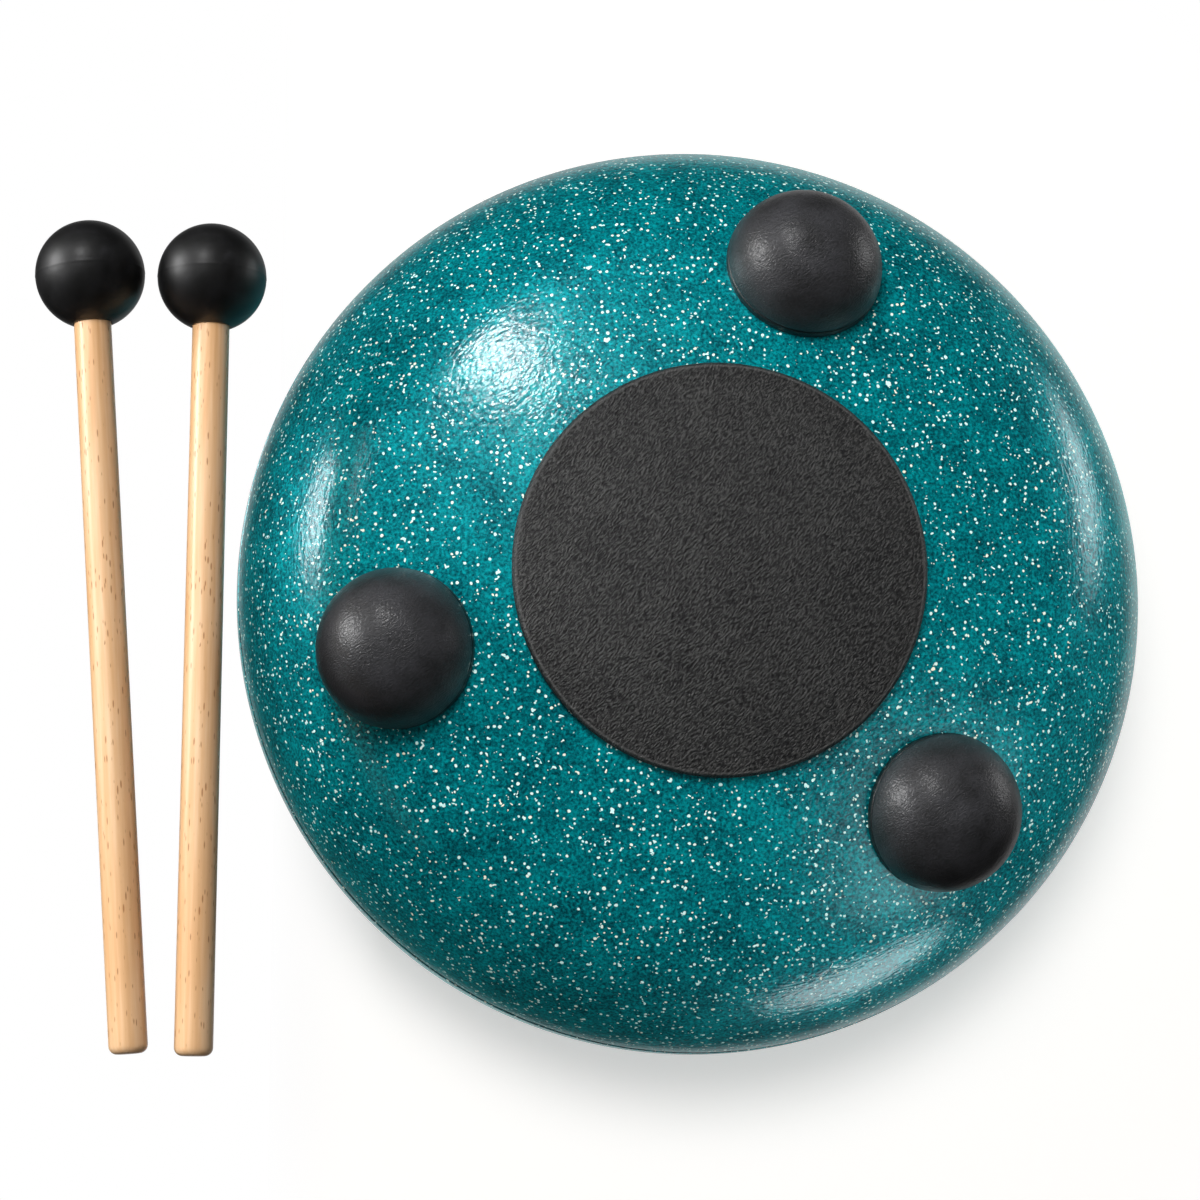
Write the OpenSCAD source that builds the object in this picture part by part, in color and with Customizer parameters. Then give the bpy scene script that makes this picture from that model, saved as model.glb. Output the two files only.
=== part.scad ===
// Steel tongue drum with two mallets.
// Millimetres, +Z up. The drum stands on its feet at z = 0 with the tongues on top.
// The origin is the middle of the whole set at floor level, so the drum's own axis lies beside it.

/* [Shells] */
// Outer radius of the drum at its widest line
shell_r = 77.5; // [70:0.5:85]
// Steel thickness of both pressed shells
shell_t = 1.8; // [1.2:0.1:2.4]
// Radius of the round shoulder between crown and side
shoulder_r = 35.5; // [30:0.5:38]
// Radius of the shallow crown
crown_r = 165; // [150:5:190]
// How far the seam lies below the widest line
seam_drop = 5; // [3:0.5:8]
// Depth of the weld groove, measured in from the outer surface
weld_depth = 0.9; // [0.6:0.1:1.1]
// How far the ground weld lies below the enamel
weld_recess = 0.15; // [0.1:0.05:0.3]
// Radius of the port in the bottom shell, behind the pad
port_r = 21; // [16:0.5:25]

/* [Tongues] */
// Number of tongues
tongue_count = 8; // [6:1:8]
// Width of the slots that free the tongues
slot_w = 1; // [0.8:0.1:1.2]
// Distance from the drum's axis to the tongue tips
tongue_gap = 17; // [16:0.5:19]
// Radius of the round tongue tips, half a tongue's width
tongue_tip_r = 7; // [6:0.1:7.2]
// Length of the longest tongue's straight sides
tongue_side = 35; // [31:0.5:36]
// How much shorter each higher note's sides are
tongue_step = 1.7; // [0:0.1:2]
// Radius of the round holes that end the slots
slot_end_r = 1.2; // [0.9:0.1:1.5]

/* [Pad] */
// Radius of the round base pad
pad_r = 33.6; // [28:0.2:36]
// Thickness of the base pad
pad_t = 1.5; // [1:0.1:1.8]
// Chamfer round the pad's outer edge
pad_chamfer = 0.6; // [0.3:0.1:0.8]
// Thickness of the adhesive ring under the pad
tape_t = 0.2; // [0.1:0.05:0.4]
// How far the adhesive ring stays back from the pad's edge and from the port
tape_margin = 1; // [0.5:0.1:2]

/* [Feet] */
// Number of feet
foot_count = 3; // [3:1:3]
// Distance from the widest line in to where each foot's axis meets the shell
foot_inset = 24.5; // [22:0.5:28]
// Radius of a foot at its base
foot_base_r = 12.9; // [11:0.1:14]
// Height of the plain band at a foot's base
foot_band_h = 1; // [0.5:0.1:2]
// Height of the dome above that band
foot_dome_h = 11.4; // [10.5:0.1:12.5]
// Depth of the small flat that a dome stands on
foot_flat = 0.3; // [0.2:0.05:0.5]
// Direction of the first foot round the drum, in degrees
foot_phase = -14; // [-60:1:60]

/* [Foot fasteners] */
// Radius of the stud, an M4 thread drawn plain
stud_r = 2; // [1.5:0.25:2.5]
// Radius of the steel plate moulded into the foot
plate_r = 7; // [5.5:0.5:9]
// Thickness of that plate
plate_t = 1.5; // [1:0.25:2.5]
// Rubber left between the plate and the shell
plate_lift = 1.2; // [0.8:0.1:2]
// Clearance round the stud in the shell and the washer
stud_clear = 0.2; // [0.1:0.05:0.4]
// Outer radius of the washer
washer_r = 4.5; // [4:0.25:6]
// Thickness of the washer
washer_t = 0.8; // [0.5:0.1:1.5]
// Gap that keeps the flat washer off the curved shell
washer_gap = 0.1; // [0.05:0.05:0.3]
// Width of the nut across its flats
nut_w = 7; // [6:0.5:8]
// Height of the nut
nut_h = 3.2; // [2.4:0.1:5]
// Length of stud that stands out of the nut
stud_tail = 1.5; // [0.5:0.25:3]

/* [Mallets] */
// Radius of the rubber head
head_r = 8.7; // [7.5:0.1:9.5]
// Radius of the wooden stick
stick_r = 3; // [2.4:0.1:3.6]
// Length of a mallet from the top of its head to the stick's tail
mallet_len = 132; // [110:1:134]
// Length of stick inside the head
stick_depth = 11; // [8:0.5:13]
// Rounding of the stick's tail
tail_round = 1.3; // [0.6:0.1:1.8]
// Gap between the drum's side and the inner mallet's stick, seen from above
inner_gap = 1.1; // [0.8:0.1:6]
// Gap between the two heads
head_gap = 1.9; // [1:0.1:6]
// How far the heads lie in front of the drum's axis
head_ahead = 46; // [44:0.5:56]
// Turn of the inner mallet's stick away from the drum, in degrees
inner_angle = 0.2; // [0:0.1:1]
// Turn of the outer mallet's stick towards the drum, in degrees
outer_angle = 4.2; // [0:0.1:5]

/* [Hidden] */
$fn = 96;

// Overrun of every cut past the face that it opens
over = 1;

// Shell profile: a crown arc and a shoulder arc that meet in one tangent
shoulder_x = shell_r - shoulder_r;
crown_drop = sqrt(pow(crown_r - shoulder_r, 2) - pow(shoulder_x, 2));
reach = 2 * crown_r;
seam_r = shoulder_x + sqrt(pow(shoulder_r, 2) - pow(seam_drop, 2));

// Feet stand square to the crown
foot_circle = shell_r - foot_inset;
foot_lean = asin(foot_circle / crown_r);
dome_r = (pow(foot_base_r, 2) + pow(foot_dome_h, 2)) / (2 * foot_dome_h);
dome_centre = crown_r + foot_band_h + foot_dome_h - dome_r;
// Height of the widest line, which puts the flats of the feet at z = 0
mid_z = dome_centre * cos(foot_lean) + dome_r - foot_flat - crown_drop;

// The washer's rim rests inside the shell, on the shoulder where it reaches past the crown
shoulder_arm = crown_r - shoulder_r;
shoulder_turn = asin(shoulder_x / shoulder_arm) - foot_lean;
shoulder_reach = washer_r - shoulder_arm * sin(shoulder_turn);
crown_seat = sqrt(pow(crown_r - shell_t, 2) - pow(washer_r, 2));
shoulder_seat = shoulder_arm * cos(shoulder_turn) + sqrt(pow(shoulder_r - shell_t, 2) - pow(shoulder_reach, 2));
washer_seat = (washer_r > crown_r * sin(shoulder_turn) ? shoulder_seat : crown_seat) - washer_gap;
stud_end = washer_seat - washer_t - nut_h - stud_tail;
plate_seat = crown_r + plate_lift;
stud_chamfer = stud_r / 5;

// Pad and adhesive lie on the crown
pad_in = crown_r + tape_t;
pad_out = pad_in + pad_t;

// A mallet lies with its head and its tail on the floor
tail_reach = mallet_len - head_r;
tail_arm = tail_reach - tail_round;
tail_rise = stick_r - tail_round;
mallet_slope = asin((head_r - tail_round) / sqrt(pow(tail_arm, 2) + pow(tail_rise, 2)))
    - atan(tail_rise / tail_arm);
inner_x = shell_r + inner_gap + stick_r;
outer_x = inner_x + 2 * head_r + head_gap;
mallet_x = [inner_x, outer_x];
mallet_angle = [inner_angle, -outer_angle];
bore_end = stick_depth - head_r;

// The drum's axis, set so that the whole set is centred on x = 0
drum_x = -(outer_x + head_r - shell_r) / 2;

// Colours as the photograph shows them
enamel = "#0b8a8c";
weld_dark = "#3b3a2e";
leather_black = "#303032";
tape_grey = "#8b8b86";
rubber_black = "#242424";
zinc = "#b9bcc0";
beech = "#d9b27c";

module at_drum() {
    translate([drum_x, 0, mid_z]) children();
}

// Local z points out of the bottom crown along a foot's axis, from the crown's centre
module at_foot(i) {
    at_drum()
        translate([0, 0, crown_drop])
            rotate([0, 180 - foot_lean, foot_phase + i * 360 / foot_count])
                children();
}

// Local z points from a mallet's tail to its head, from the head's centre
module at_mallet(i) {
    translate([drum_x + mallet_x[i], head_ahead, head_r])
        rotate([mallet_slope - 90, 0, mallet_angle[i]])
            children();
}

// Half section of everything inside a shell's outer surface moved inwards by t, above the height low
module pod_section(t, low) {
    intersection() {
        translate([0, -crown_drop]) circle(crown_r - t);
        union() {
            polygon([[0, -crown_drop], [2 * shoulder_x, crown_drop], [0, crown_drop]]);
            translate([shoulder_x, 0]) circle(shoulder_r - t);
        }
        translate([0, low]) square(reach);
    }
}

// One pressed shell that opens downwards, with its edge at the height low
module shell(low) {
    rotate_extrude($fn = 180)
        difference() {
            pod_section(0, low);
            pod_section(shell_t, low - over);
        }
}

// Everything inside the outer surface of the bottom shell
module bottom_core() {
    mirror([0, 0, 1])
        rotate_extrude($fn = 180) pod_section(0, seam_drop);
}

// Section of the weld groove, as far out as the radius r
module groove(r) {
    depth = r - seam_r + weld_depth;
    polygon([[seam_r - weld_depth, 0], [r, depth], [r, -depth]]);
}

module weld_ring(r) {
    translate([0, 0, -seam_drop])
        rotate_extrude($fn = 180) groove(r);
}

// Slot round one tongue, from the centre of its round tip; the tip points along -x
module slot(side) {
    outer_r = tongue_tip_r + slot_w;
    intersection() {
        difference() {
            circle(outer_r);
            circle(tongue_tip_r);
        }
        translate([-2 * outer_r, -outer_r]) square(2 * outer_r);
    }
    for (hand = [0, 1])
        mirror([0, hand])
            translate([0, tongue_tip_r]) {
                square([side, slot_w]);
                translate([side, slot_w / 2]) circle(slot_end_r);
            }
}

// Lowest note in front of the player, the others in turn to the left and right of it
function tongue_angle(i) = (i % 2 == 0 ? 1 : -1) * ceil(i / 2) * 360 / tongue_count - 90;

module top_shell() {
    color(enamel)
        at_drum()
            difference() {
                shell(-seam_drop);
                weld_ring(seam_r + over);
                for (i = [0 : tongue_count - 1])
                    rotate(tongue_angle(i))
                        translate([tongue_gap + tongue_tip_r, 0, 0])
                            linear_extrude(shell_r) slot(tongue_side - i * tongue_step);
            }
}

module bottom_shell() {
    color(enamel)
        difference() {
            at_drum()
                difference() {
                    mirror([0, 0, 1]) shell(seam_drop);
                    weld_ring(seam_r + over);
                    translate([0, 0, -shell_r]) cylinder(r = port_r, h = shell_r);
                }
            for (i = [0 : foot_count - 1])
                at_foot(i)
                    translate([0, 0, stud_end])
                        cylinder(r = stud_r + stud_clear, h = plate_seat - stud_end);
        }
}

module seam_weld() {
    color(weld_dark)
        at_drum() weld_ring(seam_r - weld_recess);
}

// Section of a sheet that lies on the bottom crown, out to the radius outer_r
module crown_sheet(outer_r, from_r, to_r) {
    edge = asin(outer_r / to_r);
    difference() {
        intersection() {
            circle(to_r);
            polygon([[0, 0], [0, reach], [reach * sin(edge), reach * cos(edge)]]);
        }
        circle(from_r);
    }
}

module at_crown_centre() {
    at_drum()
        translate([0, 0, crown_drop])
            mirror([0, 0, 1])
                children();
}

module base_pad() {
    color(leather_black)
        at_crown_centre()
            rotate_extrude($fn = 180)
                difference() {
                    crown_sheet(pad_r, pad_in, pad_out);
                    rotate(-asin(pad_r / pad_out))
                        translate([0, pad_out])
                            rotate(45) square(pad_chamfer * sqrt(2), center = true);
                }
}

module pad_adhesive() {
    color(tape_grey)
        at_crown_centre()
            rotate_extrude($fn = 180)
                difference() {
                    crown_sheet(pad_r - tape_margin, crown_r, pad_in);
                    square([port_r + tape_margin, reach]);
                }
}

// Plain stud with its moulded-in plate
module stud_body() {
    translate([0, 0, plate_seat]) cylinder(r = plate_r, h = plate_t);
    translate([0, 0, stud_end + stud_chamfer])
        cylinder(r = stud_r, h = plate_seat - stud_end - stud_chamfer + plate_t / 2);
    translate([0, 0, stud_end])
        cylinder(r1 = stud_r - stud_chamfer, r2 = stud_r, h = stud_chamfer);
}

module foot(i) {
    color(rubber_black)
        difference() {
            at_foot(i)
                difference() {
                    union() {
                        intersection() {
                            translate([0, 0, dome_centre]) sphere(dome_r);
                            translate([0, 0, crown_r + foot_band_h])
                                cylinder(r = foot_base_r + over, h = foot_dome_h + over);
                        }
                        translate([0, 0, crown_r - foot_base_r / 2])
                            cylinder(r = foot_base_r, h = foot_base_r / 2 + foot_band_h);
                    }
                    stud_body();
                }
            at_drum() bottom_core();
            translate([drum_x, 0, -shell_r / 2]) cube([reach, reach, shell_r], center = true);
        }
}

module foot_stud(i) {
    color(zinc) at_foot(i) stud_body();
}

module foot_washer(i) {
    color(zinc)
        at_foot(i)
            translate([0, 0, washer_seat - washer_t])
                difference() {
                    cylinder(r = washer_r, h = washer_t);
                    translate([0, 0, -over]) cylinder(r = stud_r + stud_clear, h = washer_t + 2 * over);
                }
}

module foot_nut(i) {
    color(zinc)
        at_foot(i)
            translate([0, 0, washer_seat - washer_t - nut_h])
                difference() {
                    cylinder(r = nut_w / sqrt(3), h = nut_h, $fn = 6);
                    translate([0, 0, -over]) cylinder(r = stud_r, h = nut_h + 2 * over);
                }
}

// Stick with a rounded tail at its lower end
module mallet_stick(i) {
    color(beech)
        at_mallet(i)
            translate([0, 0, -tail_reach])
                rotate_extrude() {
                    square([stick_r - tail_round, tail_reach + bore_end]);
                    translate([0, tail_round]) square([stick_r, tail_reach + bore_end - tail_round]);
                    translate([stick_r - tail_round, tail_round])
                        intersection() {
                            circle(tail_round);
                            translate([0, -tail_round]) square(tail_round);
                        }
                }
}

// Ball with a blind hole for the stick
module mallet_head(i) {
    color(rubber_black)
        at_mallet(i)
            difference() {
                sphere(head_r);
                translate([0, 0, -head_r - over]) cylinder(r = stick_r, h = head_r + over + bore_end);
            }
}

top_shell();
bottom_shell();
seam_weld();
base_pad();
pad_adhesive();
foot(0);  // foot_1
foot(1);  // foot_2
foot(2);  // foot_3
foot_stud(0);  // foot_stud_1
foot_stud(1);  // foot_stud_2
foot_stud(2);  // foot_stud_3
foot_washer(0);  // foot_washer_1
foot_washer(1);  // foot_washer_2
foot_washer(2);  // foot_washer_3
foot_nut(0);  // foot_nut_1
foot_nut(1);  // foot_nut_2
foot_nut(2);  // foot_nut_3
mallet_stick(0);  // mallet_stick_1
mallet_stick(1);  // mallet_stick_2
mallet_head(0);  // mallet_head_1
mallet_head(1);  // mallet_head_2
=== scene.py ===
"""Looks of the steel tongue drum and its mallets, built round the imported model. Metres, +Z up."""

import math

import bmesh
import bpy
from mathutils import Matrix, Vector, noise


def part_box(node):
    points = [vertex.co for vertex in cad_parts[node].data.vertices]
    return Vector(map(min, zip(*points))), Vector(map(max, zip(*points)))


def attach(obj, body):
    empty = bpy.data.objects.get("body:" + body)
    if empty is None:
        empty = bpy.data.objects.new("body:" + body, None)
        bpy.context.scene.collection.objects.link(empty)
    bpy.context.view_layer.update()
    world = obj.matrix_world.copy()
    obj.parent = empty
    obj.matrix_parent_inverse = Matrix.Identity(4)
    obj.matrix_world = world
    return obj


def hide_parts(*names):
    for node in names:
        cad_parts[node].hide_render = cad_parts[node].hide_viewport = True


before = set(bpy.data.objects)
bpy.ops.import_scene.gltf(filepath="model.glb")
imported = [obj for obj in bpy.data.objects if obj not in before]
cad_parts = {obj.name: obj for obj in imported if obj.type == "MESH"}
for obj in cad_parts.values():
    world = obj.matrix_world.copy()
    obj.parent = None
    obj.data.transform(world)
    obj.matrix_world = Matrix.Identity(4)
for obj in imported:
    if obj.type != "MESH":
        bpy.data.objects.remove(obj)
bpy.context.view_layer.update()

MM = 0.001

# The pod's section, as in the part's source
SHELL_T = 1.8 * MM
SHOULDER_R = 35.5 * MM
CROWN_R = 165 * MM
SEAM_DROP = 5 * MM
WELD_DEPTH = 0.9 * MM
WELD_RECESS = 0.15 * MM
WELD_BULGE = 0.08 * MM
WELD_WAVE = 0.05 * MM
PORT_R = 21 * MM
ENAMEL_LIP = 0.2 * MM

top_low, top_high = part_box("top_shell")
SHELL_R = (top_high.x - top_low.x) / 2
SHOULDER_X = SHELL_R - SHOULDER_R
CROWN_DROP = math.sqrt((CROWN_R - SHOULDER_R) ** 2 - SHOULDER_X**2)
SEAM_R = SHOULDER_X + math.sqrt(SHOULDER_R**2 - SEAM_DROP**2)
SEAM_INNER_R = SHOULDER_X + math.sqrt((SHOULDER_R - SHELL_T) ** 2 - SEAM_DROP**2)
# Middle of the pod, on its axis
DRUM = Vector(((top_low.x + top_high.x) / 2, 0, top_high.z - (CROWN_R - CROWN_DROP)))
# Turn from the axis, round the crown's centre, at which crown and shoulder meet
JUNCTION = math.asin(SHOULDER_X / (CROWN_R - SHOULDER_R))

# Tongue slots; the first tongue is the longest, and each next one is a step shorter
TONGUES = 8
SLOT_W = 1 * MM
TONGUE_GAP = 17 * MM
TONGUE_TIP_R = 7 * MM
TONGUE_SIDE = 35 * MM
TONGUE_STEP = 1.7 * MM
SLOT_END_R = 1.2 * MM
# Rounding of the enamel at a slot's mouth, and how far the cutter reaches over the shell
SLOT_EDGE = 0.28 * MM
SLOT_CLEAR = 2 * MM
# Steps along a slot's side, round its tip and round the hole at its end
SIDE_STEPS = 28
TIP_STEPS = 32
EYE_STEPS = 16

# Base pad
PAD_R = 33.6 * MM
PAD_T = 1.5 * MM
PAD_BEVEL = 0.6 * MM
# Where the bevel's rounding starts, and its points, as shares of the bevel inwards from the
# pad's edge and downwards from its face
PAD_ROUNDING_START = 1.35
PAD_ROUNDING = ((1.1, 0.05), (0.9, 0.13), (0.3, 0.68), (0.08, 0.95), (0, 1.35))
TAPE_T = 0.2 * MM

# Feet
FEET = 3
FOOT_CIRCLE = 53 * MM
FOOT_LEAN = math.asin(FOOT_CIRCLE / CROWN_R)
FOOT_PHASE = math.radians(-14)
FOOT_R = 12.9 * MM
FOOT_BAND = 1 * MM
FOOT_DOME = 11.4 * MM
FOOT_BLUNT = 0.35 * MM
# Rounding of the skirt's edges, and their points as shares of it, inwards and upwards
FOOT_ROUND = 0.2 * MM
SKIRT_TOP = ((1.2, 0.6), (1, 0), (0.3, -0.5), (0, -1.25))
SKIRT_FOOT = ((0, 1), (0.3, 0.3), (1, 0))
STUD_R = 2 * MM
STUD_HOLE_R = 2.2 * MM
PLATE_R = 7 * MM
PLATE_T = 1.5 * MM
PLATE_LIFT = 1.2 * MM

# Mallets
HEAD_R = 8.7 * MM
HEAD_RIDGE = 0.04 * MM
HEAD_RIDGE_W = 0.16 * MM
# Turn between the ball's surface and the lip round the stick, in radians
HEAD_LIP = 0.04
STICK_R = 3 * MM
NECK_R = 2.94 * MM
MALLET_LEN = 132 * MM
STICK_DEPTH = 11 * MM
TAIL_ROUND = 1.3 * MM
# The stick thins by this power of the way from its tail to its head
STICK_TAPER = 1.2
MALLET_TURNS = (math.radians(0.2), math.radians(-4.2))

# Fineness of the turned meshes: steps round the axis, and spacing along a section
STEPS = 256
RING = 1.2 * MM
FOOT_RING = 0.45 * MM
WELD_STEPS = 720
FOOT_STEPS = 144
STICK_STEPS = 96
HEAD_STEPS = 128
# Steps along the sections of a stick's tail, a stick and a head
TAIL_RINGS = 6
STICK_RINGS = 40
HEAD_RINGS = 120
# Edges shorter than this go after a cut
SHORTEST_EDGE = 0.001 * MM
# Bends from which the edges of shells and sticks stay sharp, and the lean off the pod's own
# direction up to which a shell's faces are shaded as the pod
SHELL_SHARP_BEND = math.radians(28)
STICK_SHARP_BEND = math.radians(50)
POD_FACE_LEAN = math.radians(12)


def colour(text):
    """A written sRGB colour as linear red, green, blue and alpha."""
    parts = [int(text[i : i + 2], 16) / 255 for i in (1, 3, 5)]
    linear = [c / 12.92 if c <= 0.04045 else ((c + 0.055) / 1.055) ** 2.4 for c in parts]
    return (*linear, 1.0)


# Geometry helpers


def pod_distance(point):
    """Distance of a point, from the drum's centre, to the pod's outer surface; negative inside."""
    across = math.hypot(point.x, point.y)
    along = abs(point.z)
    turn = math.atan2(across, along + CROWN_DROP)
    if turn < JUNCTION:
        return math.hypot(across, along + CROWN_DROP) - CROWN_R
    return math.hypot(across - SHOULDER_X, along) - SHOULDER_R


def pod_normal(point):
    """Outward direction of the pod's surface nearest to a point, from the drum's centre."""
    across = math.hypot(point.x, point.y)
    along = abs(point.z)
    side = Vector((point.x, point.y, 0)) / max(across, 1e-9)
    up = Vector((0, 0, math.copysign(1, point.z)))
    if math.atan2(across, along + CROWN_DROP) < JUNCTION:
        return (side * across + up * (along + CROWN_DROP)).normalized()
    return (side * (across - SHOULDER_X) + up * along).normalized()


def pod_height(across):
    """Height of the pod's upper surface over its middle plane, at a distance from the axis."""
    if across < CROWN_R * math.sin(JUNCTION):
        return math.sqrt(CROWN_R**2 - across**2) - CROWN_DROP
    return math.sqrt(SHOULDER_R**2 - (across - SHOULDER_X) ** 2)


def arc(centre, radius, start, end, step=RING):
    """Points (radius, height) on an arc; angles count from the axis towards the rim."""
    count = max(2, math.ceil(abs(end - start) * radius / step))
    angles = [start + (end - start) * i / count for i in range(count + 1)]
    return [
        (centre[0] + radius * math.sin(a), centre[1] + radius * math.cos(a))
        for a in angles
    ]


def pod_section(inset, start, end_height, step=RING):
    """The shell's section from a distance off the axis, over crown and shoulder, to a height."""
    first = math.asin(start / (CROWN_R - inset))
    last = math.pi / 2 - math.asin(end_height / (SHOULDER_R - inset))
    crown = arc((0, -CROWN_DROP), CROWN_R - inset, first, JUNCTION, step)
    shoulder = arc((SHOULDER_X, 0), SHOULDER_R - inset, JUNCTION, last, step)
    return crown + shoulder[1:]


def revolve(name, section, steps=STEPS, closed=False, shape=None):
    """A turned mesh about local z; a section point on the axis is a pole. Shape may move points."""
    vertices, rings, faces = [], [], []
    for radius, height in section:
        start = len(vertices)
        count = steps if radius > 1e-7 else 1
        for i in range(count):
            turn = 2 * math.pi * i / steps
            point = Vector((radius * math.cos(turn), radius * math.sin(turn), height))
            vertices.append(shape(point) if shape else point)
        rings.append(range(start, start + count))
    pairs = list(zip(rings, rings[1:]))
    if closed:
        pairs.append((rings[-1], rings[0]))
    for near, far in pairs:
        for i in range(steps):
            loop = [near[i % len(near)], near[(i + 1) % len(near)]]
            loop += [far[(i + 1) % len(far)], far[i % len(far)]]
            faces.append(list(dict.fromkeys(loop)))
    mesh = bpy.data.meshes.new(name)
    mesh.from_pydata(vertices, [], faces)
    work = bmesh.new()
    work.from_mesh(mesh)
    bpy.data.meshes.remove(mesh)
    return piece_of(name, work)


def piece_of(name, work):
    """An object of a closed mesh under construction, with its faces turned outwards and smooth."""
    bmesh.ops.recalc_face_normals(work, faces=work.faces)
    mesh = bpy.data.meshes.new(name)
    work.to_mesh(mesh)
    work.free()
    mesh.shade_smooth()
    piece = bpy.data.objects.new(name, mesh)
    bpy.context.scene.collection.objects.link(piece)
    return piece


def place(piece, matrix):
    """Moves the mesh itself, so that the object stays at the origin."""
    piece.data.transform(matrix)


def dress(piece, body, node, material):
    """Gives a new piece its material and its body, and hides the CAD node that it stands for."""
    piece.data.materials.clear()
    piece.data.materials.append(material)
    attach(piece, body)
    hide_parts(node)
    return piece


def cut(piece, cutter):
    """Takes the cutter away from the piece, and removes the cutter."""
    modifier = piece.modifiers.new("cut", "BOOLEAN")
    modifier.operation = "DIFFERENCE"
    modifier.solver = "EXACT"
    modifier.object = cutter
    bpy.context.view_layer.update()
    evaluated = piece.evaluated_get(bpy.context.evaluated_depsgraph_get())
    mesh = bpy.data.meshes.new_from_object(evaluated)
    work = bmesh.new()
    work.from_mesh(mesh)
    bmesh.ops.dissolve_degenerate(work, dist=SHORTEST_EDGE, edges=work.edges)
    bmesh.ops.triangulate(work, faces=[face for face in work.faces if len(face.verts) > 4])
    work.to_mesh(mesh)
    work.free()
    piece.modifiers.clear()
    piece.data = mesh
    bpy.data.objects.remove(cutter)


def smooth_as_pod(piece):
    """Shades the shell's two faces with the pod's own directions, and leaves its edges crisp."""
    mesh = piece.data
    mesh.shade_smooth()
    mesh.set_sharp_from_angle(angle=SHELL_SHARP_BEND)
    own = [Vector((0, 0, 0))] * len(mesh.loops)
    for face in mesh.polygons:
        outward = pod_normal(face.center - DRUM)
        along = face.normal.dot(outward)
        if abs(along) < math.cos(POD_FACE_LEAN):
            continue
        side = math.copysign(1, along)
        for corner in face.loop_indices:
            point = mesh.vertices[mesh.loops[corner].vertex_index].co
            own[corner] = pod_normal(point - DRUM) * side
    mesh.normals_split_custom_set(own)


# Shells


def ring_part(centre, radius, start, sweep, count):
    """Points of part of a circle, both ends included."""
    turns = [start + sweep * i / count for i in range(count + 1)]
    return [
        (centre[0] + radius * math.cos(turn), centre[1] + radius * math.sin(turn))
        for turn in turns
    ]


def straight(start, end):
    """Points between two ends, close enough together to follow the curved shell."""
    shares = [i / SIDE_STEPS for i in range(1, SIDE_STEPS)]
    return [tuple(a + (b - a) * share for a, b in zip(start, end)) for share in shares]


def slot_outline(side, half_w, end_r):
    """Points round a tongue's U-shaped slot from its tip's centre, with the tip towards -x."""
    middle = TONGUE_TIP_R + SLOT_W / 2
    neck = math.asin(half_w / end_r)
    eyes = [
        ring_part((side, y), end_r, math.pi + neck, 2 * math.pi - 2 * neck, EYE_STEPS)
        for y in (-middle, middle)
    ]
    tip_out = ring_part((0, 0), middle + half_w, math.pi / 2, math.pi, TIP_STEPS)
    tip_in = ring_part((0, 0), middle - half_w, 1.5 * math.pi, -math.pi, TIP_STEPS)
    points = []
    parts = (tip_out, eyes[0], tip_in, eyes[1])
    for part, following in zip(parts, parts[1:] + parts[:1]):
        points += part + straight(part[-1], following[0])
    return points


def slot_rings(work, i):
    """Rings of new points round one tongue's slot, from under the shell to over it."""
    # Depth under the outer surface, and how much wider each side of the slot is there
    levels = (
        (2.2 * SHELL_T, 0),
        (SLOT_EDGE, 0),
        (0.35 * SLOT_EDGE, 0.2 * SLOT_EDGE),
        (0, 0.6 * SLOT_EDGE),
        (-SLOT_EDGE, 1.8 * SLOT_EDGE),
        (-SLOT_CLEAR, 1.8 * SLOT_EDGE),
    )
    # The longest tongue points to -y, and the next ones follow on either side of it in turn
    hand = 1 if i % 2 == 0 else -1
    turn = hand * math.ceil(i / 2) * 2 * math.pi / TONGUES - math.pi / 2
    spin = Matrix.Rotation(turn, 4, "Z")
    side = TONGUE_SIDE - i * TONGUE_STEP
    rings = []
    for depth, spread in levels:
        ring = []
        for x, y in slot_outline(side, SLOT_W / 2 + spread, SLOT_END_R + spread):
            flat = spin @ Vector((TONGUE_GAP + TONGUE_TIP_R + x, y, 0))
            height = pod_height(flat.length) - depth
            ring.append(work.verts.new(DRUM + flat + Vector((0, 0, height))))
        rings.append(ring)
    return rings


def slot_cutter():
    """All tongue slots as one closed mesh, whose mouths widen where they meet the outer surface."""
    work = bmesh.new()
    for i in range(TONGUES):
        rings = slot_rings(work, i)
        for near, far in zip(rings, rings[1:]):
            for j in range(len(near)):
                k = (j + 1) % len(near)
                work.faces.new((near[j], near[k], far[k], far[j]))
        work.faces.new(rings[0])
        work.faces.new(rings[-1])
    bmesh.ops.triangulate(work, faces=work.faces, ngon_method="EAR_CLIP")
    return piece_of("slots", work)


def top_shell(material):
    """Upper half of the pod with its tongues, and the upper side of the weld groove."""
    level = math.pi / 2
    shoulder = (SHOULDER_X, 0)
    groove = level + (SEAM_DROP - WELD_DEPTH) / SHOULDER_R
    outer = pod_section(0, 0, 0)[:-1] + arc(shoulder, SHOULDER_R, level, groove)
    edge = [
        (SEAM_R + 0.4 * ENAMEL_LIP, -SEAM_DROP + WELD_DEPTH - ENAMEL_LIP),
        (SEAM_R - WELD_DEPTH, -SEAM_DROP),
        (SEAM_INNER_R, -SEAM_DROP),
    ]
    inner = arc(shoulder, SHOULDER_R - SHELL_T, level + SEAM_DROP / SHOULDER_R, level)
    inner += pod_section(SHELL_T, 0, 0, 3 * RING)[::-1][1:]
    piece = revolve("tongue_shell", outer + edge + inner)
    place(piece, Matrix.Translation(DRUM))
    cut(piece, slot_cutter())
    smooth_as_pod(piece)
    return dress(piece, "drum", "top_shell", material)


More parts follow.
